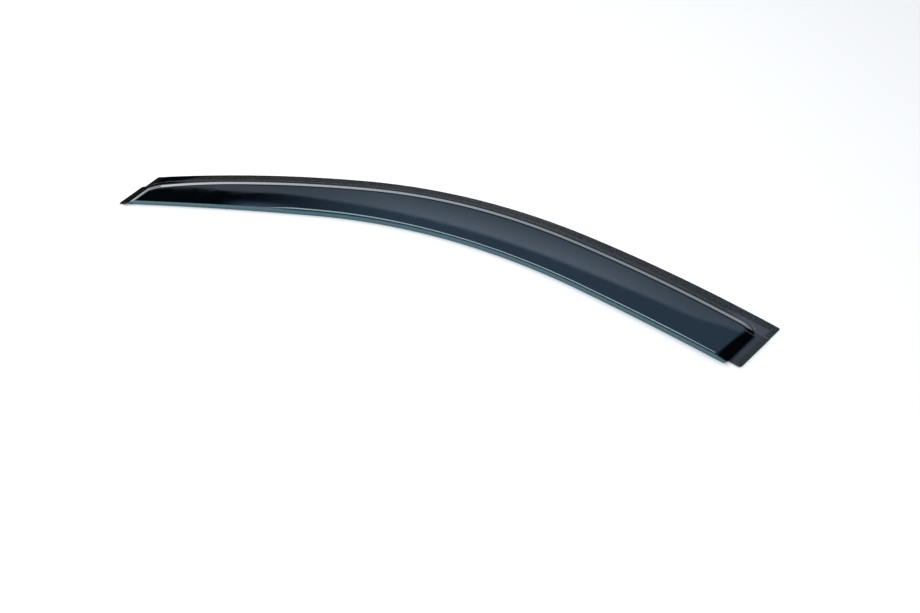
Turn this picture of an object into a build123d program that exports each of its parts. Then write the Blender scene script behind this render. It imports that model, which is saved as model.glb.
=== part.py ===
from build123d import *
import os
from math import acos, asin, cos, degrees, radians, sin, sqrt, tan

# Window rain deflector for one front door of a car: a thermoformed, smoke-tinted acrylic visor with
# three strips of foam tape on its back.
#
# The visor is one sheet of even gauge. From the roof edge down it has a flat mounting flange, a small
# step up (the joggle), a second flange level that runs out round both ends, and a raised body with a
# sloped riser, a gently crowned panel, sloped end walls and a lip turned down along the lower edge.
#
# Frame, in millimetres: +X runs along the door from the pointed end to the square end, +Y up towards
# the roof, +Z out from the door. The origin is on the back of the roof tape, halfway along the door.

# Sheet and tape
sheet_gauge = 3.0
tape_thickness = 1.1
tape_margin = 1.0
roof_tape_width = 8.5
end_tape_width = 6.0

# Outline, seen square on to the door
chord_length = 934.0
left_rake = 28.2
right_rake = 31.9
tip_drop = 5.0
heel_trim = 3.0
tip_radius = 3.0
corner_radius = 2.0

# Roof edge of the flange: a crown arc between two flatter flank arcs
roof_apex_x = 13.0
roof_apex_y = 6.0
roof_crown_radius = 1000.0
roof_crown_left = 145.0
roof_crown_right = 196.0
roof_flank_left = 2175.0
roof_flank_right = 2160.0

# The joggle and the body follow a line of their own, on a tighter crown, so the flange widens
# towards the square end
body_apex_x = 9.8
body_crown_radius = 931.0
body_crown_left = 134.5
body_crown_right = 182.0

# Lower edge, where the lip hangs
lower_apex_x = -23.0
lower_apex_y = -66.6
lower_crown_radius = 1030.0
lower_crown_left = 162.0
lower_crown_right = 235.0
lower_flank_left = 5875.0
lower_flank_right = 4385.0

# Step from the roof flange up to the second flange level, which turns down across both end corners
joggle_height = 3.0
joggle_slope = 50.0
roof_flange_width = 9.6
joggle_end_drop = 12.0
joggle_left_turn = 14.0
joggle_left_slant = 26.0
joggle_right_turn = 35.0
joggle_right_slant = 8.0
joggle_bend_radius = 5.0

# Raised body: a riser just inside the joggle, which draws away from it near the pointed end,
# diagonal corners, sloped end walls and a crowned panel
riser_ledge = 1.6
left_corner_ledge = 5.0
right_corner_ledge = 1.6
toe_in_start = -347.0
toe_in_radius = 800.0
riser_slope = 30.0
riser_height = 3.4
shoulder_radius = 6.0
panel_entry_slope = 2.9
panel_crown_radius = 1000.0
left_flange_width = 8.0
right_flange_width = 13.0
left_wall_slope = 17.0
right_wall_slope = 17.0

# Lip turned down along the lower edge
lip_left_start = 18.0
lip_radius = 2.5

# Extra length and depth of the shapes that are trimmed back
reach = 560.0
overlap = 30.0
panel_reach = 140.0

# Levels above the back of the roof tape
flange_back = tape_thickness
flange_face = flange_back + sheet_gauge
upper_back = flange_back + joggle_height
upper_face = upper_back + sheet_gauge

# Line of the riser's foot, below the body line
riser_line = roof_flange_width + joggle_height / tan(radians(joggle_slope)) + riser_ledge


def direction(angle):
    """Unit vector at an angle from the X axis."""
    return Vector(cos(radians(angle)), sin(radians(angle)))


def angle_at(centre, radius, x):
    """Angle from the X axis of the point of a circle's upper half at x."""
    return degrees(acos((x - centre.X) / radius))


class Arch:
    """A line of tangent arcs that all bend the same way, from right to left.

    Each arc is its centre, its radius and the angles where it starts and stops.
    """

    def __init__(self, arcs):
        self.arcs = arcs

    def turned_in(self, x, radius):
        """The same line with a tighter last arc from x on."""
        centre, flank, start, stop = self.arcs[-1]
        turn = angle_at(centre, flank, x)
        toe_centre = centre + direction(turn) * (flank - radius)
        toe = (toe_centre, radius, turn, angle_at(toe_centre, radius, -reach))
        return Arch(self.arcs[:-1] + [(centre, flank, start, turn), toe])

    def height(self, x):
        """Y of the line at x."""
        for centre, radius, start, stop in self.arcs:
            if x >= centre.X + radius * cos(radians(stop)):
                break
        return centre.Y + sqrt(radius**2 - (x - centre.X) ** 2)

    def tangent(self, x):
        """Direction of the line at x, towards +X."""
        step = 0.01
        return Vector(2 * step, self.height(x + step) - self.height(x - step)).normalized()

    def draw(self, inset=0.0):
        """Adds the arcs to the line being built, moved inset below the line, and returns its two ends."""
        drawn = []
        for centre, radius, start, stop in self.arcs:
            drawn.append(CenterArc(centre, radius - inset, start, stop - start))
        return drawn[0] @ 0, drawn[-1] @ 1


def crowned_line(apex_x, apex_y, crown, left_run, right_run, left_flank, right_flank):
    """A crown arc between two flatter flank arcs."""
    centre = Vector(apex_x, apex_y - crown)
    left_join = 90 + degrees(asin(left_run / crown))
    right_join = 90 - degrees(asin(right_run / crown))
    left_centre = centre + direction(left_join) * (crown - left_flank)
    right_centre = centre + direction(right_join) * (crown - right_flank)
    right_start = angle_at(right_centre, right_flank, reach)
    left_stop = angle_at(left_centre, left_flank, -reach)
    return Arch(
        [
            (right_centre, right_flank, right_start, right_join),
            (centre, crown, right_join, left_join),
            (left_centre, left_flank, left_join, left_stop),
        ]
    )


roof_line = crowned_line(
    roof_apex_x,
    roof_apex_y,
    roof_crown_radius,
    roof_crown_left,
    roof_crown_right,
    roof_flank_left,
    roof_flank_right,
)
body_line = crowned_line(
    body_apex_x,
    roof_apex_y,
    body_crown_radius,
    body_crown_left,
    body_crown_right,
    roof_flank_left,
    roof_flank_right,
)
lower_line = crowned_line(
    lower_apex_x,
    lower_apex_y,
    lower_crown_radius,
    lower_crown_left,
    lower_crown_right,
    lower_flank_left,
    lower_flank_right,
)


class End:
    """A raked end of the visor: its top corner, the way down along it and the way in from it."""

    def __init__(self, x, rake, side):
        self.corner = Vector(x, roof_line.height(x))
        self.down = Vector(-sin(radians(rake)), -cos(radians(rake)))
        self.inward = Vector(side * cos(radians(rake)), -side * sin(radians(rake)))
        self.side = side

    def strip(self, start, stop):
        """Cuts the sketch being built to what lies from start to stop in from this end."""
        near = self.corner + self.inward * start
        far = self.corner + self.inward * stop
        slide = self.down * reach
        with BuildLine() as window:
            Polyline(near - slide, near + slide, far + slide, far - slide, close=True)
        make_face(window.edges(), mode=Mode.INTERSECT)

    def corners(self, vertices):
        """The vertices that lie on this end's line, from the roof down."""
        on_line = vertices.filter_by(lambda v: abs((Vector(v.X, v.Y) - self.corner).dot(self.inward)) < 0.01)
        return on_line.sort_by_distance(self.corner)


pointed_end = End(-chord_length / 2, left_rake, 1)
square_end = End(chord_length / 2, right_rake, -1)


class StepCorner:
    """An end corner where the roof flange stays low and the joggle turns down across it.

    Seen in plan, the joggle leaves the body line at the turn, slants down and then runs out to the end.
    """

    def __init__(self, end, turn, slant):
        self.end = end
        self.turn = turn
        self.slant = slant
        self.along = roof_line.tangent(end.corner.X) * end.side
        self.down = roof_line.tangent(end.corner.X).rotate(Axis.Z, -90)
        self.inward = (self.along * joggle_end_drop + self.down * slant).normalized()

    def place(self, across, depth):
        """The plan point that lies across from the end's top corner and depth below it."""
        return self.end.corner + self.along * across + self.down * depth

    def bends(self, grow):
        """The plan points where the joggle bends, at the turn and at the foot of the slant, grown by grow."""
        lean = self.slant / joggle_end_drop
        shift = grow * (sqrt(1 + lean**2) - lean)
        turn = self.place(self.turn + shift, roof_flange_width + grow)
        return turn, self.place(self.turn - self.slant + shift, roof_flange_width + joggle_end_drop + grow)

    def draw(self, grow):
        """Adds the low corner to the sketch being built, grown by grow."""
        turn, foot = self.bends(grow)
        slide = (turn - foot).normalized() * reach
        out = self.along * -reach
        band(body_line, -overlap, body_line, roof_flange_width + joggle_end_drop + grow)
        with BuildLine() as window:
            Polyline(turn + slide, foot - slide, foot - slide + out, turn + slide + out, close=True)
        make_face(window.edges(), mode=Mode.INTERSECT)


pointed_corner = StepCorner(pointed_end, joggle_left_turn, joggle_left_slant)
square_corner = StepCorner(square_end, joggle_right_turn, joggle_right_slant)


def band(upper, upper_inset, lower, lower_inset):
    """Adds the face between two arched lines to the sketch being built."""
    with BuildLine() as outline:
        upper_right, upper_left = upper.draw(upper_inset)
        lower_right, lower_left = lower.draw(lower_inset)
        Line(upper_right, lower_right)
        Line(upper_left, lower_left)
    make_face(outline.edges())


def between_ends(left_inset, right_inset):
    """Cuts the sketch being built to what lies between the two raked ends, less an inset at each."""
    pointed_end.strip(left_inset, 2 * reach)
    square_end.strip(right_inset, 2 * reach)


def upper_level_plan(inset):
    """Adds the plan of the second flange level to the sketch being built, inset from the joggle."""
    with BuildSketch() as plan:
        band(body_line, roof_flange_width + inset, lower_line, overlap)
        for corner in (pointed_corner, square_corner):
            with BuildSketch(mode=Mode.PRIVATE) as low:
                corner.draw(inset)
            add(low.sketch, mode=Mode.SUBTRACT)
            turn, foot = corner.bends(inset)
            fillet(plan.vertices().sort_by_distance(turn)[0], joggle_bend_radius - inset)
            fillet(plan.vertices().sort_by_distance(foot)[0], joggle_bend_radius + inset)
    add(plan.sketch)


def joggle_inset(depth, rise):
    """How far the joggle's surface lies in from its foot line, depth below the face and rise up it."""
    return depth * tan(radians(joggle_slope / 2)) + rise / tan(radians(joggle_slope))


def upper_level(depth):
    """Solid under the second flange level, set depth below its face, with the joggle as its sloped edge."""
    with BuildPart() as level:
        with BuildSketch(Plane.XY.offset(flange_face - depth)):
            upper_level_plan(joggle_inset(depth, 0.0))
        with BuildSketch(Plane.XY.offset(upper_face - depth)):
            upper_level_plan(joggle_inset(depth, joggle_height))
        loft(ruled=True)
    return level.part


def shared_edges(some_faces, other_faces):
    """Edges where two groups of faces meet."""
    others = other_faces.edges()
    return some_faces.edges().filter_by(lambda edge: any(edge.is_same(other) for other in others))


def body_profile(depth):
    """Adds the section of the raised body and its skirt to the sketch: X down the door, Y out from it."""
    foot = Vector(depth * tan(radians(riser_slope / 2)), upper_face - depth)
    toe = foot - Vector(1 / tan(radians(riser_slope)), 1) * joggle_height
    riser_top = Vector(riser_height / tan(radians(riser_slope)), upper_face + riser_height)
    riser_side = 90 + riser_slope
    panel_side = 90 + panel_entry_slope
    shoulder_centre = riser_top - direction(riser_side) * shoulder_radius
    panel_centre = shoulder_centre + direction(panel_side) * (shoulder_radius - panel_crown_radius)
    panel_turn = degrees(panel_reach / panel_crown_radius)
    with BuildLine() as section:
        shoulder = CenterArc(shoulder_centre, shoulder_radius - depth, riser_side, panel_side - riser_side)
        panel = CenterArc(panel_centre, panel_crown_radius - depth, panel_side, -panel_turn)
        far = panel @ 1
        Polyline(shoulder @ 0, toe, (far.X, toe.Y), far)
    make_face(section.edges())


def keep_below(start, inward, slope, depth):
    """Cuts the part being built to what lies under a plane, set depth below it.

    The plane rises inward from a plan line through start on the second flange level's face, and goes on
    below that level by the height of the joggle.
    """
    run = 2 * reach
    rise = tan(radians(slope))
    foot = Vector(depth * tan(radians(slope / 2)), upper_face - depth)
    toe = foot - Vector(1 / rise, 1) * joggle_height
    with BuildSketch(Plane(start, x_dir=inward, z_dir=inward.rotate(Axis.Z, -90))) as section:
        with BuildLine() as side:
            Polyline(toe, toe + Vector(run, run * rise), toe + Vector(run, 0), close=True)
        make_face(side.edges())
    extrude(section.sketch, amount=run, both=True, mode=Mode.INTERSECT)


def raised_body(depth):
    """Solid under the raised body, set depth below its surface."""
    foot = upper_face - depth
    with BuildLine() as path:
        body_line.turned_in(toe_in_start, toe_in_radius).draw(riser_line)
    start = path.line @ 0
    heading = path.line % 0
    with BuildPart() as form:
        with BuildSketch(Plane(start, x_dir=heading.rotate(Axis.Z, 90), z_dir=heading)) as section:
            body_profile(depth)
        sweep(section.sketch, path=path.line)
        for end, width, slope in (
            (pointed_end, left_flange_width, left_wall_slope),
            (square_end, right_flange_width, right_wall_slope),
        ):
            keep_below(end.corner + end.inward * width, end.inward, slope, depth)
        for corner, ledge in ((pointed_corner, left_corner_ledge), (square_corner, right_corner_ledge)):
            turn = corner.bends(joggle_inset(0.0, joggle_height) + ledge)[0]
            keep_below(turn, corner.inward, riser_slope, depth)
        # The rounded shoulder turns the corners and goes on over the end walls
        flats = form.faces().filter_by(GeomType.PLANE).filter_by(lambda face: face.normal_at().Z > 0.1)
        swept = form.faces().filter_by(GeomType.PLANE, reverse=True)
        swept = swept.filter_by(lambda face: face.normal_at().Z > 0.1)
        fillet(shared_edges(flats, swept), shoulder_radius - depth)
        split(bisect_by=Plane.XY.offset(foot))
        extrude(form.faces().sort_by(Axis.Z)[0], amount=joggle_height)
    return form.part


def on_crease(edge):
    """Whether an edge lies where the panel and the end walls turn down into the lip."""
    middle = edge @ 0.5
    return middle.Z > upper_face and abs(middle.Y - lower_line.height(middle.X)) < 0.05


# Trimming shapes
with BuildSketch() as tip_plan:
    band(roof_line, 0.0, lower_line, tip_drop)
    pointed_end.strip(0.0, lip_left_start)

with BuildSketch() as heel_plan:
    band(lower_line, -heel_trim, lower_line, overlap)
    square_end.strip(-overlap, right_flange_width)

with BuildPart() as outline:
    with BuildSketch() as plan:
        band(roof_line, 0.0, lower_line, 0.0)
        between_ends(0.0, 0.0)
        add(tip_plan.sketch)
        add(heel_plan.sketch, mode=Mode.SUBTRACT)
        left_top, tip = pointed_end.corners(plan.vertices())
        fillet(tip, tip_radius)
        fillet(left_top, corner_radius)
        fillet(square_end.corners(plan.vertices()), corner_radius)
    extrude(amount=overlap)

with BuildPart() as lip_strip:
    with BuildSketch(Plane.XY.offset(-2 * overlap)):
        band(lower_line, -sheet_gauge, lower_line, overlap)
        between_ends(lip_left_start, right_flange_width)
    extrude(amount=4 * overlap)

with BuildPart() as cavity:
    with BuildSketch(Plane.XY.offset(-overlap)):
        band(roof_line, -overlap, lower_line, overlap)
    extrude(amount=overlap + flange_back)
    add(upper_level(sheet_gauge))
    add(raised_body(sheet_gauge))
    add(lip_strip.part, mode=Mode.SUBTRACT)

with BuildPart() as visor:
    with BuildSketch():
        band(roof_line, -overlap, lower_line, overlap)
    extrude(amount=flange_face)
    add(upper_level(0.0))
    add(raised_body(0.0))
    add(outline.part, mode=Mode.INTERSECT)
    add(cavity.part, mode=Mode.SUBTRACT)
    fillet(visor.edges().filter_by(GeomType.LINE, reverse=True).filter_by(on_crease), lip_radius)
visor.part.label = "visor"

with BuildPart() as roof_tape:
    with BuildSketch():
        band(roof_line, tape_margin, roof_line, tape_margin + roof_tape_width)
        between_ends(tape_margin, tape_margin)
        # The strip turns the square corner and runs down to the joggle
        with BuildSketch(mode=Mode.PRIVATE) as turn_down:
            band(roof_line, tape_margin, body_line, roof_flange_width + joggle_end_drop - tape_margin)
            square_end.strip(tape_margin, tape_margin + end_tape_width)
        add(turn_down.sketch)
    extrude(amount=tape_thickness)
roof_tape.part.label = "roof_tape"


def end_tape_plan(end):
    """Adds the plan of the tape under one end flange to the sketch being built."""
    upper_edge = roof_flange_width + joggle_end_drop + joggle_inset(sheet_gauge, joggle_height) + tape_margin
    with BuildSketch(mode=Mode.PRIVATE) as below:
        band(lower_line, -heel_trim - tape_margin, lower_line, 3 * overlap)
    band(body_line, upper_edge, lower_line, 2 * overlap)
    end.strip(tape_margin, tape_margin + end_tape_width)
    add(below.sketch, mode=Mode.SUBTRACT)


with BuildPart() as pointed_end_tape:
    with BuildSketch(Plane.XY.offset(upper_back - tape_thickness)):
        end_tape_plan(pointed_end)
    extrude(amount=tape_thickness)
pointed_end_tape.part.label = "pointed_end_tape"

with BuildPart() as square_end_tape:
    with BuildSketch(Plane.XY.offset(upper_back - tape_thickness)):
        end_tape_plan(square_end)
    extrude(amount=tape_thickness)
square_end_tape.part.label = "square_end_tape"

os.makedirs("parts", exist_ok=True)
export_step(visor.part, "parts/visor.step")
export_step(roof_tape.part, "parts/roof_tape.step")
export_step(pointed_end_tape.part, "parts/pointed_end_tape.step")
export_step(square_end_tape.part, "parts/square_end_tape.step")
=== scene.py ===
from math import acos, asin, cos, degrees, pi, radians, sin, tan

import bpy
import numpy as np
from mathutils import Matrix, Vector


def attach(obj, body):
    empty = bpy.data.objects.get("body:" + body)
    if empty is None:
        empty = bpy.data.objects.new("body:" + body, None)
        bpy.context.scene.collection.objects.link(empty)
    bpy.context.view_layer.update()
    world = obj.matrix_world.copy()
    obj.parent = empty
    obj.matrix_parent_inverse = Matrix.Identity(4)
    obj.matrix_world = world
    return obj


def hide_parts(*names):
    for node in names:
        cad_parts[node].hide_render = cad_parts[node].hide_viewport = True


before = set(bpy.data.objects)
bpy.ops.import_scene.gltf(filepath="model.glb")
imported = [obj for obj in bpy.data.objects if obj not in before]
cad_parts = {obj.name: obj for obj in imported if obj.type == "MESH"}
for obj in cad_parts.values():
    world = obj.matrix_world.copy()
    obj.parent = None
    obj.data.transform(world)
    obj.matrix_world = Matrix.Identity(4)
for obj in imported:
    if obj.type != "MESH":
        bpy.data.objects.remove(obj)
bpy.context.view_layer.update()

# The visor's skin is drawn in millimetres and scaled to metres. Its roof, body and lower lines and its
# gauge are the CAD part's. Some of its bends, walls, slopes and end rakes lie closer to the photograph.
millimetre = 0.001

# Sheet, seen square on to the door: +X along the door, +Y up, +Z out from the door
sheet_gauge = 3.0
flange_back = 1.1
chord_length = 934.0
left_rake = 29.8
right_rake = 31.9
tip_drop = 4.0
tip_radius = 1.0
heel_trim = 3.0
corner_radius = 2.0

# Plan lines: apex, crown radius, how far the crown runs left and right, and the two flank radii
roof_crown = (13.0, 6.0, 1000.0, 145.0, 196.0, 2175.0, 2160.0)
body_crown = (9.8, 6.0, 931.0, 134.5, 182.0, 2175.0, 2160.0)
lower_crown = (-23.0, -66.6, 1030.0, 162.0, 235.0, 5875.0, 4385.0)
toe_in_start = -347.0
toe_in_radius = 1100.0

# Joggle up to the second flange level, and its low end corners: where it turns, and the slant down
joggle_height = 3.0
joggle_slope = 65.0
roof_flange_width = 9.1
joggle_end_drop = 7.5
left_turn = 14.0
left_slant = 26.0
right_turn = 35.0
right_slant = 8.0
joggle_corner_softness = 3.0

# Raised body
riser_line = 13.5
riser_slope = 25.5
riser_height = 2.6
left_corner_ledge = 5.0
right_corner_ledge = 1.6
shoulder_radius = 10.0
panel_entry_slope = 3.7
left_entry_slope = 1.0
left_entry_zone = (-460.0, -280.0)
panel_crown_radius = 1000.0
left_flange_width = 10.2
right_flange_width = 13.0
left_wall_slope = 26.0
right_wall_slope = 17.0
lip_left_start = 11.0
lip_radius = 4.2
lip_left_radius = 0.1
lip_left_zone = (205.0, 257.0)
lip_right_radius = 3.0
lip_right_zone = (-120.0, 180.0)
lip_draft = 0.1
# Radius of the lower edge where there is no lip
edge_radius = 0.3
# How far before and past its place each end of the lip, of the tip and of the heel blends in
lip_end_blend = 1.0
tip_blend = (-6.0, 4.0)
heel_blend = 1.5

# How softly the formed sheet turns from one slope to the next
joggle_softness = 0.9
foot_softness = 0.6
shoulder_softness = 0.65
left_wall_softness = 0.4
right_wall_softness = 2.0
left_corner_softness = 2.0
right_corner_softness = 8.0

# Tape seen through the flange
tape_margin = 1.0
roof_tape_width = 8.5
end_tape_width = 6.0
tape_edge_blend = 0.5
tape_side_blend = 1.0
# Where the painted light through the flange fades towards the pointed end
flange_fade = (-392.0, -360.0)
flange_fade_slant = 5.5
pointed_end_fade = 0.35
# The painted light of the flange is weaker along its narrow part than at the wide square corner, and
# weaker further below the roof. No light is painted where the body rises.
flange_narrow_share = 0.33
flange_wide_zone = (392.0, 425.0)
flange_end_share = 0.6
flange_end_zone = (15.0, 19.0)
flange_rise = (0.0, 1.0)
# Where painted light lightens the panel, as if coming through it: along it, past the riser and before the
# square end's wall
painted_panel_light_zone = (-330.0, -60.0)
painted_panel_light_rise = (1.0, 3.0)
painted_panel_light_wall_zone = (14.0, 20.0)
# Where more painted light lightens the panel close above the crease, towards the pointed end
crease_light_start = (-342.0, -280.0)
crease_light_stop = (-262.0, -195.0)
crease_light_width = 17.0
# Share of the way round the crease at which the lip's painted glow starts
lip_light_start = 0.3

# Mesh density
end_zone = 80.0
end_spacing = 0.7
middle_spacing = 5.0
flange_rows = 12
riser_rows = 90
panel_rows = 36
crease_rows = 8
lip_rows = 6
inner_rows = 3
back_coarseness = 2
riser_zone_top = 9.0
riser_zone_bottom = 27.0
riser_zone_margin = 1.0
crease_margin = 0.2
inner_margin = 0.05
sharp_angle = 65.0
# Rounds of the searches for a line's height and for a run down a column
height_rounds = 6
run_rounds = 8

# Camera: where the photograph was taken from, in the part's frame, in metres and degrees
camera_place = (0.2084, -0.4040, 0.6701)
camera_heading = 30.24
camera_tilt = 22.761
camera_roll = -13.439
camera_lens = 20.893
camera_sensor = 36.0
camera_near = 0.01

# Studio, as the gloss sees it: directions from straight beyond the roof edge, towards the square end.
# A soft wall of light stands beyond the roof edge above a dark gap and a glowing backdrop.
wall_azimuth = 5.0
# Keeps directions that don't lead beyond the roof edge from a division by zero
least_beyond = 0.001
# How steeply up the wall's foot and top are seen, how far to the sides it reaches, and its strength
wall_foot_slope = (0.95, 1.25)
wall_top_slope = 1.68
wall_top_softness = 0.04
wall_left_softness = 0.012
wall_softens = (-1.6, -1.2)
wall_left_reach = (-3.0, -2.5)
wall_foot_strength = 0.5
wall_left_strength = 1.05
wall_right_strength = 1.95
wall_brightens = (-1.25, -0.5)
wall_dims = (-0.1, 0.4)
wall_dim_share = 0.6
# The top of the wall runs higher at the far left and lower at the right
wall_left_rise = 0.878
wall_left_zone = (-3.07, -1.265)
wall_right_fall = 0.1
wall_right_zone = (0.34, 0.52)
wall_colour = (0.82, 1.0, 1.2, 1.0)
backdrop_height = (0.14, 0.30)
backdrop_depth = (-0.2, 0.1)
backdrop_right_reach = (0.75, 0.92)
backdrop_right_share = 0.1
backdrop_strength = 4.2
backdrop_colour = (0.95, 1.0, 1.05, 1.0)
# A cool glow above the wall, which fades towards the pointed end
glow_height = (0.55, 0.75)
glow_left_reach = (-0.62, -0.30)
glow_right_reach = (0.40, 0.55)
glow_strength = 0.38
glow_colour = (0.53, 1.0, 1.56, 1.0)
# The key lamp hangs overhead
key_place = (-0.40, -0.48, 1.8)
key_width = 2.0
key_depth = 1.45
key_strength = 9.0
key_colour = (0.90, 1.0, 1.10)

# Colours
plain_white = (1.0, 1.0, 1.0, 1.0)
smoke_tint = (0.0004, 0.001, 0.0016, 1.0)
# Painted light, as if coming through the panel
painted_panel_light = (0.0078, 0.0115, 0.016, 1.0)
# Painted light close above the crease
painted_crease_light = (0.018, 0.025, 0.035, 1.0)
# Painted light, as if coming through the bare flange
painted_flange_light = (0.036, 0.034, 0.039, 1.0)
tape_dark = (0.010, 0.008, 0.0062, 1.0)
tape_light = (0.026, 0.021, 0.017, 1.0)
# Painted teal light through the tinted lip
painted_lip_glow = (0.0005, 0.062, 0.080, 1.0)
foam_light = (0.11, 0.105, 0.10, 1.0)
foam_dark = (0.05, 0.048, 0.045, 1.0)

# Surfaces, with noise scales per metre and bump heights in metres
acrylic_ior = 1.49
acrylic_roughness = (0.02, 0.06)
tape_grain_scale = 600.0
tape_grain_detail = 3.0
tape_grain_range = (0.35, 0.65)
wave_scale = 28.0
wave_detail = 1.0
wave_strength = 0.05
haze_scale = 60.0
haze_detail = 4.0
haze_range = (0.3, 0.7)
foam_roughness = 0.9
foam_cell_scale = 1800.0
foam_cell_strength = 0.4
bump_height = 0.0002

# Floor, with the tinted shadow that the sheet throws in front of its lip
floor_reach = 6000.0
floor_drop = 0.2
floor_paper = (0.72, 0.65, 0.59)
floor_glow_share = 0.45
floor_columns = 120
floor_column_share = 0.6
floor_rows = (40.0, 25.0, 17.0, 12.0, 8.5, 6.0, 4.0, 2.5, 1.2, 0.0, -30.0)
shade_tint = (0.42, 0.48, 0.54, 1.0)
shade_run = 3.8
shade_left_start = -4.0
shade_right_blend = 6.0


def direction(angle):
    """Unit vector at an angle from the X axis, in degrees."""
    return np.array((cos(radians(angle)), sin(radians(angle))))


def angle_at(centre, radius, x):
    """Angle from the X axis of the point of a circle's upper half at x."""
    return degrees(acos((x - centre[0]) / radius))


class PlanLine:
    """A line of tangent arcs in plan, from right to left, all bending the same way."""

    def __init__(self, apex_x, apex_y, crown, left_run, right_run, left_flank, right_flank):
        centre = np.array((apex_x, apex_y - crown))
        left_join = direction(90 + degrees(asin(left_run / crown)))
        right_join = direction(90 - degrees(asin(right_run / crown)))
        self.arcs = [
            (centre + right_join * (crown - right_flank), right_flank, None),
            (centre, crown, right_join),
            (centre + left_join * (crown - left_flank), left_flank, left_join),
        ]

    def turn_in(self, x, radius):
        """Goes on from x with a tighter arc."""
        centre, flank = self.arcs[-1][:2]
        turn = direction(angle_at(centre, flank, x))
        self.arcs.append((centre + turn * (flank - radius), radius, turn))
        return self

    def below(self, x, y):
        """How far points lie below the line."""
        depth = None
        for centre, radius, join in self.arcs:
            across = x - centre[0]
            up = y - centre[1]
            here = radius - np.hypot(across, up)
            if depth is None:
                depth = here
            else:
                depth = np.where(join[0] * up - join[1] * across > 0, here, depth)
        return depth

    def height(self, x):
        """Y of the line at x."""
        y = np.zeros_like(x)
        for step in range(height_rounds):
            y = y + self.below(x, y)
        return y


roof_line = PlanLine(*roof_crown)
body_line = PlanLine(*body_crown)
riser_foot_line = PlanLine(*body_crown).turn_in(toe_in_start, toe_in_radius)
lower_line = PlanLine(*lower_crown)


class End:
    """A raked end of the visor: its top corner and the way in from it."""

    def __init__(self, x, rake, side):
        self.corner = np.array((x, roof_line.height(np.array([x]))[0]))
        self.normal = np.array((side * cos(radians(rake)), -side * sin(radians(rake))))
        self.side = side

    def inset(self, x, y):
        """How far points lie in from the end."""
        return (x - self.corner[0]) * self.normal[0] + (y - self.corner[1]) * self.normal[1]


pointed_end = End(-chord_length / 2, left_rake, 1)
square_end = End(chord_length / 2, right_rake, -1)


class StepCorner:
    """An end corner where the roof flange stays low and the joggle slants down across it."""

    def __init__(self, end, turn, slant, ledge, softness):
        step = 0.5
        x = end.corner[0] + np.array((-step, step))
        rise = np.diff(roof_line.height(x))[0] / (2 * step)
        along = np.array((1.0, rise)) / np.hypot(1.0, rise) * end.side
        down = np.array((rise, -1.0)) / np.hypot(1.0, rise)
        normal = along * joggle_end_drop + down * slant
        self.normal = normal / np.hypot(*normal)
        self.start = end.corner + along * turn + down * roof_flange_width
        self.ledge = ledge
        self.softness = softness

    def inset(self, x, y):
        """How far points lie in from the slanted part of the joggle's foot."""
        return (x - self.start[0]) * self.normal[0] + (y - self.start[1]) * self.normal[1]


pointed_corner = StepCorner(pointed_end, left_turn, left_slant, left_corner_ledge, left_corner_softness)
square_corner = StepCorner(square_end, right_turn, right_slant, right_corner_ledge, right_corner_softness)


def blend(low, high, value):
    """Goes smoothly from 0 to 1 while value goes from low to high."""
    share = np.clip((value - low) / (high - low), 0.0, 1.0)
    return share * share * (3 - 2 * share)


def blend_around(middle, reach, value):
    """Goes smoothly from 0 to 1 while value passes from a reach before the middle to a reach past it."""
    return blend(middle - reach, middle + reach, value)


def soft_min(first, second, softness):
    """The smaller of two heights, with the crease between them rounded."""
    overlap = np.maximum(softness - np.abs(first - second), 0.0)
    return np.minimum(first, second) - overlap**2 / (4 * softness)


def soft_max(first, second, softness):
    """The larger of two heights, with the crease between them rounded."""
    return -soft_min(-first, -second, softness)


def level_rise(x, y, depth):
    """How far the second flange level stands above the roof flange."""
    inset = body_line.below(x, y) - roof_flange_width
    step = inset
    for corner in (pointed_corner, square_corner):
        slanted = soft_max(corner.inset(x, y), inset - joggle_end_drop, joggle_corner_softness)
        step = soft_min(step, slanted, joggle_corner_softness)
    slope = (step - depth * tan(radians(joggle_slope / 2))) * tan(radians(joggle_slope))
    return soft_min(soft_max(slope, 0.0, joggle_softness), joggle_height, joggle_softness)


def body_rise(x, y, depth):
    """How far the raised body stands above the second flange level."""
    inset = riser_foot_line.below(x, y) - riser_line
    shoulder_run = riser_height / tan(radians(riser_slope))
    shoulder_run += shoulder_radius * (sin(radians(riser_slope)) - sin(radians(panel_entry_slope)))
    shoulder_top = riser_height
    shoulder_top += shoulder_radius * (cos(radians(panel_entry_slope)) - cos(radians(riser_slope)))
    past = inset - shoulder_run
    # The panel lies flatter towards the pointed end
    entry = left_entry_slope + (panel_entry_slope - left_entry_slope) * blend(*left_entry_zone, x)
    panel = shoulder_top + past * np.tan(np.radians(entry)) - past**2 / (2 * panel_crown_radius)
    riser = inset
    joggle_run = joggle_height / tan(radians(joggle_slope))
    for corner in (pointed_corner, square_corner):
        riser = soft_min(riser, corner.inset(x, y) - joggle_run - corner.ledge, corner.softness)
    slope = (riser - depth * tan(radians(riser_slope / 2))) * tan(radians(riser_slope))
    left_wall = (pointed_end, left_flange_width, left_wall_slope, left_wall_softness)
    right_wall = (square_end, right_flange_width, right_wall_slope, right_wall_softness)
    for end, width, wall_slope, softness in (left_wall, right_wall):
        wall = end.inset(x, y) - width - depth * tan(radians(wall_slope / 2))
        slope = soft_min(slope, wall * tan(radians(wall_slope)), softness)
    return soft_max(soft_min(slope, panel, shoulder_softness), 0.0, foot_softness)


def sheet_height(x, y, depth):
    """Height of the sheet's face above the door, or of the surface depth below it."""
    return flange_back + sheet_gauge - depth + level_rise(x, y, depth) + body_rise(x, y, depth)


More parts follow.
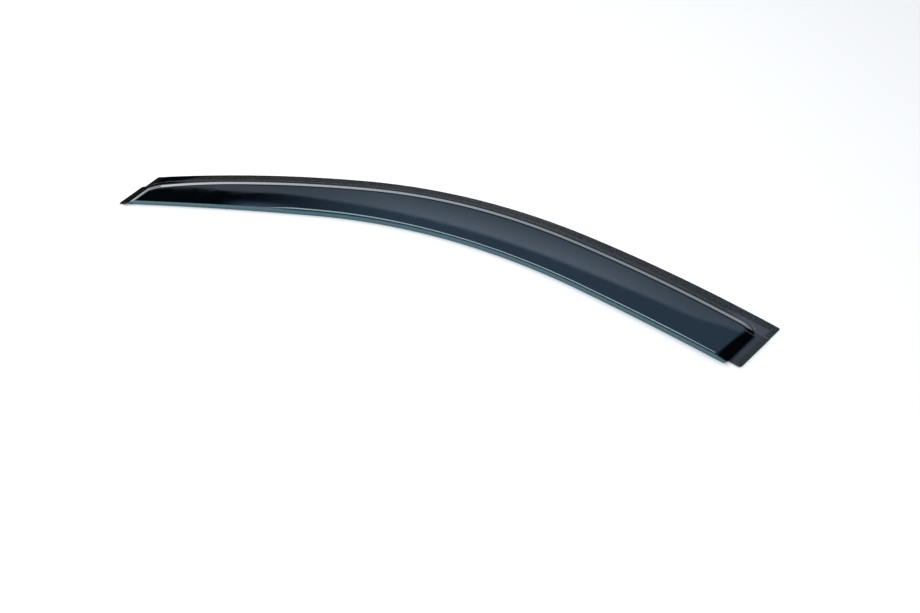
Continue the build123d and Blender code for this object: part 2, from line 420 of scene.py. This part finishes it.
def column_starts():
    """X of each raked column of the mesh on the roof line, closer together near both ends."""
    half = chord_length / 2
    end_count = round(end_zone / end_spacing)
    middle_count = round((chord_length - 2 * end_zone) / middle_spacing)
    left = np.linspace(-half, -half + end_zone, end_count, endpoint=False)
    middle = np.linspace(-half + end_zone, half - end_zone, middle_count, endpoint=False)
    right = np.linspace(half - end_zone, half, end_count + 1)
    return np.concatenate((left, middle, right))


def corner_trim(distance, radius):
    """How far a corner rounded to a radius is cut back at a distance in from it."""
    short = np.maximum(radius - distance, 0.0)
    return radius - np.sqrt(radius**2 - short**2)


class Columns:
    """The raked lines from the roof edge down to the lower edge that the mesh is woven on."""

    def __init__(self):
        self.x = column_starts()
        self.y = roof_line.height(self.x)
        share = self.x / chord_length + 0.5
        rake = np.radians(left_rake + (right_rake - left_rake) * share)
        self.step_x = -np.sin(rake)
        self.step_y = -np.cos(rake)
        self.from_left = (self.x + chord_length / 2) * cos(radians(left_rake))
        self.from_right = (chord_length / 2 - self.x) * cos(radians(right_rake))
        # Share of the full lip, and where the lower edge lies below the lower line
        self.lip = blend_around(lip_left_start, lip_end_blend, self.from_left)
        self.lip *= blend_around(right_flange_width, lip_end_blend, self.from_right)
        self.drop = tip_drop * (1 - blend(*tip_blend, self.from_left - lip_left_start))
        self.drop -= corner_trim(self.from_left, tip_radius)
        self.drop -= heel_trim * (1 - blend_around(right_flange_width, heel_blend, self.from_right))
        self.drop -= corner_trim(self.from_right, corner_radius)

    def place(self, run):
        """Plan points a run down each column."""
        return self.x + self.step_x * run, self.y + self.step_y * run

    def run_to(self, line, depth):
        """How far down each column the points lie that are depth below a line."""
        run = np.zeros_like(self.x)
        for step in range(run_rounds):
            x, y = self.place(run)
            run = run + (depth - line.below(x, y)) / cos(radians(left_rake))
        return run


def rows_between(first, last, count):
    """Rows of runs from first to last, without the last one."""
    share = np.linspace(0.0, 1.0, count, endpoint=False)[:, None]
    return first + (last - first) * share


def face_rows(columns, edge_run, coarseness):
    """Plan runs of the rows of one face of the sheet, from the roof edge to edge_run."""
    roof = corner_trim(columns.from_left, corner_radius) + corner_trim(columns.from_right, corner_radius)
    riser_top = columns.run_to(body_line, riser_zone_top)
    riser_bottom = np.minimum(columns.run_to(body_line, riser_zone_bottom), edge_run - riser_zone_margin)
    return np.concatenate(
        (
            rows_between(roof, riser_top, flange_rows // coarseness),
            rows_between(riser_top, riser_bottom, riser_rows // coarseness),
            rows_between(riser_bottom, edge_run, panel_rows // coarseness),
        )
    )


def skin_points(columns):
    """Rows of points round the sheet: over the face, round the crease, down the lip and back below."""
    rows = []
    edge = columns.run_to(lower_line, columns.drop)
    full = lip_left_radius + (lip_radius - lip_left_radius) * blend(*lip_left_zone, columns.from_left)
    full -= (lip_radius - lip_right_radius) * blend(*lip_right_zone, columns.x)
    crease = edge_radius + (full - edge_radius) * columns.lip
    lip_top = columns.run_to(lower_line, columns.drop - lip_draft * columns.lip)
    crease_run = columns.run_to(lower_line, columns.drop - lip_draft * columns.lip - crease)
    for run in face_rows(columns, crease_run, 1):
        x, y = columns.place(run)
        rows.append((x, y, sheet_height(x, y, 0.0)))
    # A row close above the crease keeps the panel's shading level up to it
    x, y = columns.place(crease_run - crease_margin)
    rows.append((x, y, sheet_height(x, y, 0.0)))
    x, y = columns.place(crease_run)
    brow = sheet_height(x, y, 0.0)
    foot = (brow - sheet_gauge) * (1 - columns.lip)
    for angle in np.radians(np.linspace(0.0, 90.0, crease_rows + 1)):
        x, y = columns.place(crease_run + (lip_top - crease_run) * sin(angle))
        rows.append((x, y, brow - crease * (1 - cos(angle))))
    top = brow - crease
    for share in np.linspace(0.0, 1.0, lip_rows + 1)[1:]:
        x, y = columns.place(lip_top + (edge - lip_top) * share)
        rows.append((x, y, top + (foot - top) * share))
    inner_run = columns.run_to(lower_line, columns.drop - sheet_gauge * columns.lip - inner_margin)
    x, y = columns.place(inner_run)
    ceiling = sheet_height(x, y, sheet_gauge)
    for share in np.linspace(0.0, 1.0, inner_rows, endpoint=False):
        rows.append((x, y, foot + (ceiling - foot) * share))
    rows.append((x, y, ceiling))
    for run in face_rows(columns, inner_run, back_coarseness)[::-1]:
        x, y = columns.place(run)
        rows.append((x, y, sheet_height(x, y, sheet_gauge)))
    return np.array(rows)


def flange_light(x, y):
    """How much of the painted light through the flange is kept, fading towards the pointed end."""
    roof = np.minimum(roof_line.below(x, y), roof_tape_width)
    return blend(*flange_fade, x + flange_fade_slant * roof)


def painted_flange_light_share(x, y):
    """Where painted light lightens the bare flange, as if coming through it, from 0 to 1."""
    wide = flange_narrow_share + (1 - flange_narrow_share) * blend(*flange_wide_zone, x)
    wide *= 1 - (1 - flange_end_share) * blend(*flange_end_zone, body_line.below(x, y))
    return (1 - blend(*flange_rise, body_rise(x, y, 0.0))) * flange_light(x, y) * wide


def painted_panel_light_share(x, y):
    """Where painted light lightens the panel, from 0 to 1."""
    wall_top = blend(*painted_panel_light_wall_zone, square_end.inset(x, y) - right_flange_width)
    return blend(*painted_panel_light_rise, body_rise(x, y, 0.0)) * blend(*painted_panel_light_zone, x) * wall_top


def painted_crease_light_share(x, y):
    """Where more painted light lightens the panel close above the crease, from 0 to 1."""
    along = blend(*crease_light_start, x) * (1 - blend(*crease_light_stop, x))
    near = 1 - blend(0.0, crease_light_width, -lower_line.below(x, y))
    return along * near**2


def tape_share(x, y):
    """Where the foam tape shows through the flange, from 0 to 1."""
    roof = roof_line.below(x, y)
    below_edge = blend_around(tape_margin, tape_edge_blend, roof)
    share = below_edge * (1 - blend_around(tape_margin + roof_tape_width, tape_side_blend, roof))
    # The tape fades with the flange's painted light, a painted shade towards the pointed end
    share *= flange_light(x, y)
    for end, level in ((pointed_end, pointed_end_fade), (square_end, 1.0)):
        inset = end.inset(x, y)
        strip = blend_around(tape_margin, tape_edge_blend, inset) * below_edge * level
        strip *= 1 - blend_around(tape_margin + end_tape_width, tape_side_blend, inset)
        share = np.maximum(share, strip)
    return share


def painted_lip_glow_share(columns, count):
    """Where the lip's painted teal glow shows, as if light came through it, from 0 to 1, for each row of
    points.
    """
    # The crease starts after the face's rows and the one close above it
    first = flange_rows + riser_rows + panel_rows + 1
    share = np.zeros((count, len(columns.x)))
    crease = np.linspace(0.0, 1.0, crease_rows + 1)
    share[first : first + crease_rows + 1] = blend(lip_light_start, 1.0, crease)[:, None] * columns.lip
    share[first + crease_rows + 1 : first + crease_rows + lip_rows + 1] = columns.lip
    return share


def build_skin():
    """The visor's sheet as one smooth closed mesh."""
    columns = Columns()
    points = skin_points(columns)
    row_count = points.shape[0]
    column_count = points.shape[2]
    mesh = bpy.data.meshes.new("visor_skin")
    vertices = (points.transpose(2, 0, 1).reshape(-1, 3) * millimetre).tolist()
    faces = []
    for column in range(column_count - 1):
        here = column * row_count
        there = here + row_count
        for row in range(row_count):
            after = (row + 1) % row_count
            faces.append((here + row, here + after, there + after, there + row))
    last = (column_count - 1) * row_count
    faces.append(tuple(reversed(range(row_count))))
    faces.append(tuple(last + row for row in range(row_count)))
    mesh.from_pydata(vertices, [], faces)
    mesh.polygons.foreach_set("use_smooth", [True] * len(mesh.polygons))
    mesh.set_sharp_from_angle(angle=radians(sharp_angle))
    x = points[:, 0]
    y = points[:, 1]
    layers = {
        # Painted light through the flange
        "flange": painted_flange_light_share(x, y),
        "tape": tape_share(x, y),
        # Painted teal glow in the lip
        "lip": painted_lip_glow_share(columns, row_count),
        # Painted light through the panel
        "clear": painted_panel_light_share(x, y),
        # Painted light above the crease
        "crease": painted_crease_light_share(x, y),
    }
    for name, share in layers.items():
        layer = mesh.attributes.new(name, "FLOAT", "POINT")
        layer.data.foreach_set("value", share.T.reshape(-1).astype(np.float32))
    skin = bpy.data.objects.new("visor_skin", mesh)
    bpy.context.scene.collection.objects.link(skin)
    return skin


def set_up_camera():
    """Puts the camera where the photograph was taken from."""
    data = bpy.data.cameras.new("camera")
    data.sensor_fit = "HORIZONTAL"
    data.sensor_width = camera_sensor
    data.lens = camera_lens
    data.clip_start = camera_near
    camera = bpy.data.objects.new("camera", data)
    turn = Matrix.Rotation(radians(camera_heading), 4, "Z")
    tilt = Matrix.Rotation(radians(camera_tilt), 4, "X")
    roll = Matrix.Rotation(radians(camera_roll), 4, "Z")
    camera.matrix_world = Matrix.Translation(camera_place) @ turn @ tilt @ roll
    bpy.context.scene.collection.objects.link(camera)
    bpy.context.scene.camera = camera


def soft_box(name, place, target, width, height, radiance, colour):
    """Adds a rectangular area lamp of a given radiance that faces a target."""
    data = bpy.data.lights.new(name, "AREA")
    data.shape = "RECTANGLE"
    data.size = width
    data.size_y = height
    data.color = colour
    # A lamp of this power over its face has the given radiance
    data.energy = radiance * width * height * pi
    lamp = bpy.data.objects.new(name, data)
    aim = Vector(target) - Vector(place)
    lamp.matrix_world = Matrix.Translation(place) @ aim.to_track_quat("-Z", "Y").to_matrix().to_4x4()
    lamp.visible_camera = False
    bpy.context.scene.collection.objects.link(lamp)


class Nodes:
    """A node tree that small formulas are written into."""

    def __init__(self, tree):
        self.tree = tree

    def add(self, kind, **settings):
        """Adds a node."""
        node = self.tree.nodes.new(kind)
        for name, value in settings.items():
            setattr(node, name, value)
        return node

    def feed(self, socket, value):
        """Links a socket to another one, or sets it to a plain value."""
        if isinstance(value, bpy.types.NodeSocket):
            self.tree.links.new(value, socket)
        else:
            socket.default_value = value

    def calculate(self, operation, first, second):
        """Adds a calculation with two values."""
        node = self.add("ShaderNodeMath", operation=operation)
        self.feed(node.inputs[0], first)
        self.feed(node.inputs[1], second)
        return node.outputs[0]

    def product(self, *values):
        """Multiplies several values."""
        result = values[0]
        for value in values[1:]:
            result = self.calculate("MULTIPLY", result, value)
        return result

    def ramp(self, value, limits, start=0.0, stop=1.0, shape="SMOOTHSTEP"):
        """Goes from start to stop while value goes between two limits."""
        node = self.add("ShaderNodeMapRange", interpolation_type=shape)
        settings = (value, limits[0], limits[1], start, stop)
        for socket, setting in zip(("Value", "From Min", "From Max", "To Min", "To Max"), settings):
            self.feed(node.inputs[socket], setting)
        return node.outputs["Result"]

    def mix(self, share, first, second):
        """Goes from the first colour to the second as share goes from 0 to 1."""
        node = self.add("ShaderNodeMix", data_type="RGBA")
        colours = [socket for socket in node.inputs if socket.type == "RGBA"]
        self.feed(node.inputs["Factor"], share)
        self.feed(colours[0], first)
        self.feed(colours[1], second)
        return [socket for socket in node.outputs if socket.type == "RGBA"][0]

    def mix_shaders(self, share, first, second):
        """Goes from the first shader to the second as share goes from 0 to 1."""
        node = self.add("ShaderNodeMixShader")
        for socket, value in zip(node.inputs, (share, first, second)):
            self.feed(socket, value)
        return node.outputs[0]

    def attribute(self, name):
        """A value that is stored on the mesh's points."""
        return self.add("ShaderNodeAttribute", attribute_name=name).outputs["Fac"]

    def noise(self, place, scale, detail):
        """Soft noise, between 0 and 1."""
        node = self.add("ShaderNodeTexNoise")
        self.feed(node.inputs["Vector"], place)
        self.feed(node.inputs["Scale"], scale)
        self.feed(node.inputs["Detail"], detail)
        return node.outputs["Fac"]

    def bump(self, height, strength):
        """The surface's direction, tilted by small heights."""
        node = self.add("ShaderNodeBump")
        self.feed(node.inputs["Height"], height)
        self.feed(node.inputs["Strength"], strength)
        self.feed(node.inputs["Distance"], bump_height)
        return node.outputs["Normal"]


def set_up_light():
    """Lights the part the way the photograph's studio does."""
    below_key = (key_place[0], key_place[1], 0.0)
    soft_box("soft_key", key_place, below_key, key_width, key_depth, key_strength, key_colour)
    world = bpy.data.worlds.new("studio")
    bpy.context.scene.world = world
    world.use_nodes = True
    world.node_tree.nodes.clear()
    nodes = Nodes(world.node_tree)
    sight = nodes.add("ShaderNodeTexCoord").outputs["Generated"]
    away = nodes.add("ShaderNodeVectorMath", operation="DOT_PRODUCT")
    across = nodes.add("ShaderNodeVectorMath", operation="DOT_PRODUCT")
    turn = radians(wall_azimuth)
    for node, axis in ((away, (sin(turn), cos(turn), 0.0)), (across, (cos(turn), -sin(turn), 0.0))):
        nodes.feed(node.inputs[0], sight)
        node.inputs[1].default_value = axis
    split = nodes.add("ShaderNodeSeparateXYZ")
    nodes.feed(split.inputs[0], sight)
    beyond = nodes.calculate("MAXIMUM", away.outputs["Value"], least_beyond)
    slope = nodes.calculate("DIVIDE", split.outputs["Z"], beyond)
    side = nodes.calculate("DIVIDE", across.outputs["Value"], beyond)
    rise = nodes.ramp(side, wall_left_zone, wall_left_rise, 0.0)
    fall = nodes.ramp(side, wall_right_zone, 0.0, wall_right_fall)
    top_slope = nodes.calculate("ADD", slope, nodes.calculate("SUBTRACT", fall, rise))
    softness = nodes.ramp(side, wall_softens, wall_left_softness, wall_top_softness)
    wall_top = (
        nodes.calculate("SUBTRACT", wall_top_slope, softness),
        nodes.calculate("ADD", wall_top_slope, softness),
    )
    wall_rise = (wall_foot_slope[1], wall_top_slope - wall_top_softness)
    wall_peak = nodes.ramp(side, wall_brightens, wall_left_strength, wall_right_strength)
    wall_peak = nodes.product(wall_peak, nodes.ramp(side, wall_dims, 1.0, wall_dim_share))
    wall = nodes.product(
        nodes.ramp(slope, wall_foot_slope),
        nodes.ramp(top_slope, wall_top, 1.0, 0.0),
        nodes.ramp(side, wall_left_reach),
        nodes.ramp(slope, wall_rise, wall_foot_strength, wall_peak, "LINEAR"),
    )
    backdrop = nodes.product(
        nodes.ramp(split.outputs["Z"], backdrop_height, 1.0, 0.0),
        nodes.ramp(away.outputs["Value"], backdrop_depth),
        nodes.ramp(across.outputs["Value"], backdrop_right_reach, 1.0, backdrop_right_share),
        backdrop_strength,
    )
    glow = nodes.product(
        nodes.ramp(split.outputs["Z"], glow_height),
        nodes.ramp(split.outputs["X"], glow_left_reach),
        nodes.ramp(split.outputs["X"], glow_right_reach, 1.0, 0.0),
        nodes.ramp(top_slope, wall_top),
        glow_strength,
    )
    light = None
    for strength, colour in ((wall, wall_colour), (backdrop, backdrop_colour), (glow, glow_colour)):
        emit = nodes.add("ShaderNodeBackground")
        emit.inputs["Color"].default_value = colour
        nodes.feed(emit.inputs["Strength"], strength)
        if light is None:
            light = emit.outputs[0]
        else:
            both = nodes.add("ShaderNodeAddShader")
            nodes.feed(both.inputs[0], light)
            nodes.feed(both.inputs[1], emit.outputs[0])
            light = both.outputs[0]
    white = nodes.add("ShaderNodeBackground")
    white.inputs["Color"].default_value = plain_white
    white.inputs["Strength"].default_value = 1.0
    # The camera sees plain white where the gloss sees the studio
    seen = nodes.add("ShaderNodeLightPath").outputs["Is Camera Ray"]
    surround = nodes.mix_shaders(seen, light, white.outputs[0])
    nodes.feed(nodes.add("ShaderNodeOutputWorld").inputs[0], surround)
    bpy.context.scene.view_settings.view_transform = "Standard"


def add_floor():
    """Adds the pale floor, which looks white and keeps a soft shadow."""
    half = chord_length * floor_column_share
    columns = np.linspace(-half, half, floor_columns)
    line = lower_line.height(columns)
    columns = np.concatenate(([-floor_reach], columns, [floor_reach]))
    line = np.concatenate((line[:1], line, line[-1:]))
    rows = np.concatenate(([floor_reach], floor_rows, [-floor_reach]))
    x = np.tile(columns, (len(rows), 1))
    y = line - rows[:, None]
    points = np.stack((x, y, np.full_like(x, -floor_drop)), axis=-1).reshape(-1, 3) * millimetre
    count = len(columns)
    faces = []
    for row in range(len(rows) - 1):
        for column in range(count - 1):
            here = row * count + column
            faces.append((here, here + 1, here + count + 1, here + count))
    mesh = bpy.data.meshes.new("floor")
    mesh.from_pydata(points.tolist(), [], faces)
    shade = np.exp(-np.abs(lower_line.below(x, y)) / shade_run)
    shade *= blend(shade_left_start, lip_left_start, pointed_end.inset(x, y))
    shade *= blend_around(right_flange_width, shade_right_blend, square_end.inset(x, y))
    layer = mesh.attributes.new("shade", "FLOAT", "POINT")
    layer.data.foreach_set("value", shade.reshape(-1).astype(np.float32))
    floor = bpy.data.objects.new("floor", mesh)
    bpy.context.scene.collection.objects.link(floor)
    material = bpy.data.materials.new("floor_white")
    material.use_nodes = True
    material.node_tree.nodes.clear()
    nodes = Nodes(material.node_tree)
    path = nodes.add("ShaderNodeLightPath").outputs
    seen = nodes.calculate("MAXIMUM", path["Is Camera Ray"], path["Is Glossy Ray"])
    seen = nodes.calculate("MAXIMUM", seen, path["Is Transmission Ray"])
    shade = nodes.attribute("shade")
    paper = floor_paper + (1.0,)
    dim_paper = tuple(white * tint for white, tint in zip(floor_paper, shade_tint)) + (1.0,)
    paint = nodes.add("ShaderNodeBsdfDiffuse")
    nodes.feed(paint.inputs["Color"], nodes.mix(shade, paper, dim_paper))
    glow = nodes.add("ShaderNodeEmission")
    nodes.feed(glow.inputs["Color"], nodes.mix(shade, plain_white, shade_tint))
    glow_share = nodes.product(seen, floor_glow_share)
    surface = nodes.mix_shaders(glow_share, paint.outputs[0], glow.outputs[0])
    nodes.feed(nodes.add("ShaderNodeOutputMaterial").inputs[0], surface)
    mesh.materials.append(material)


def smoked_acrylic():
    """Glossy, smoke-tinted acrylic, with the tape dimly seen through it, painted light through the flange
    and panel, and a painted teal glow in the lip.
    """
    material = bpy.data.materials.new("smoked_acrylic")
    material.use_nodes = True
    nodes = Nodes(material.node_tree)
    shader = material.node_tree.nodes["Principled BSDF"]
    shader.inputs["IOR"].default_value = acrylic_ior
    place = nodes.add("ShaderNodeTexCoord").outputs["Object"]
    grain = nodes.noise(place, tape_grain_scale, tape_grain_detail)
    foam = nodes.mix(nodes.ramp(grain, tape_grain_range), tape_dark, tape_light)
    # Each layer covers the one before where its share is full
    tints = {
        # Painted light through the flange
        "flange": painted_flange_light,
        # Painted light through the panel
        "clear": painted_panel_light,
        # Painted light above the crease
        "crease": painted_crease_light,
        "tape": foam,
        # Painted teal glow in the lip
        "lip": painted_lip_glow,
    }
    colour = smoke_tint
    for name, tint in tints.items():
        colour = nodes.mix(nodes.attribute(name), colour, tint)
    nodes.feed(shader.inputs["Base Color"], colour)
    # Faint waves of a formed sheet
    waves = nodes.noise(place, wave_scale, wave_detail)
    nodes.feed(shader.inputs["Normal"], nodes.bump(waves, wave_strength))
    # Haze from handling
    haze = nodes.noise(place, haze_scale, haze_detail)
    nodes.feed(shader.inputs["Roughness"], nodes.ramp(haze, haze_range, *acrylic_roughness))
    return material


def foam_tape():
    """Matte closed-cell foam."""
    material = bpy.data.materials.new("foam_tape")
    material.use_nodes = True
    nodes = Nodes(material.node_tree)
    shader = material.node_tree.nodes["Principled BSDF"]
    shader.inputs["Roughness"].default_value = foam_roughness
    cells = nodes.add("ShaderNodeTexVoronoi")
    nodes.feed(cells.inputs["Vector"], nodes.add("ShaderNodeTexCoord").outputs["Object"])
    cells.inputs["Scale"].default_value = foam_cell_scale
    distance = cells.outputs["Distance"]
    nodes.feed(shader.inputs["Base Color"], nodes.mix(distance, foam_light, foam_dark))
    nodes.feed(shader.inputs["Normal"], nodes.bump(distance, foam_cell_strength))
    return material


def dress(node, material):
    """Gives a CAD node its material."""
    node.data.materials.clear()
    node.data.materials.append(material)


set_up_camera()
set_up_light()
add_floor()
acrylic = smoked_acrylic()
foam = foam_tape()
visor_skin = build_skin()
visor_skin.data.materials.append(acrylic)
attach(visor_skin, "root")
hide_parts("visor")
dress(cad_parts["visor"], acrylic)
for name in ("roof_tape", "pointed_end_tape", "square_end_tape"):
    dress(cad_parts[name], foam)
